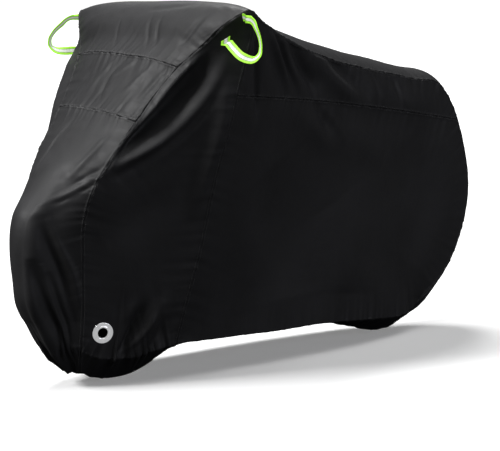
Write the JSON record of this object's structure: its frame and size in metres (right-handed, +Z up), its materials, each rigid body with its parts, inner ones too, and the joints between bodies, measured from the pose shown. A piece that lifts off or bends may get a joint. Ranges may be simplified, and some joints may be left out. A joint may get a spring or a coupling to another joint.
{
  "type": "bicycle cover",
  "caption": "Fitted weather cover as it hangs over a bicycle: a hollow shell of sewn dark cloth panels with elastic hems, lock eyelets and green webbing loops at the bar ends.",
  "frame": {"origin": "highest point of the inside of the hood, in the middle of the cover, where the handlebar holds it up", "axes": "+X towards the rear wheel, -X towards the front wheel, +Y towards the right side, +Z up"},
  "size_m": [1.8657, 0.8798, 1.076],
  "materials": {
    "cover_cloth": "coated plain-weave polyester, satin",
    "green_webbing": "woven webbing with a silver reflective stripe",
    "eyelet_metal": "polished nickel"
  },
  "bodies": {
    "root": {"front_wheel_panel": "cover_cloth", "front_mid_panel": "cover_cloth", "bar_hood_panel": "cover_cloth", "back_strip_panel": "cover_cloth", "side_front_left": "cover_cloth", "side_strip_left": "cover_cloth", "side_yoke_left": "cover_cloth", "side_rear_left": "cover_cloth", "side_front_right": "cover_cloth", "side_strip_right": "cover_cloth", "side_yoke_right": "cover_cloth", "side_rear_right": "cover_cloth", "eyelet_left": "eyelet_metal", "loop_left": "green_webbing", "eyelet_right": "eyelet_metal", "loop_right": "green_webbing"}
  },
  "joints": []
}
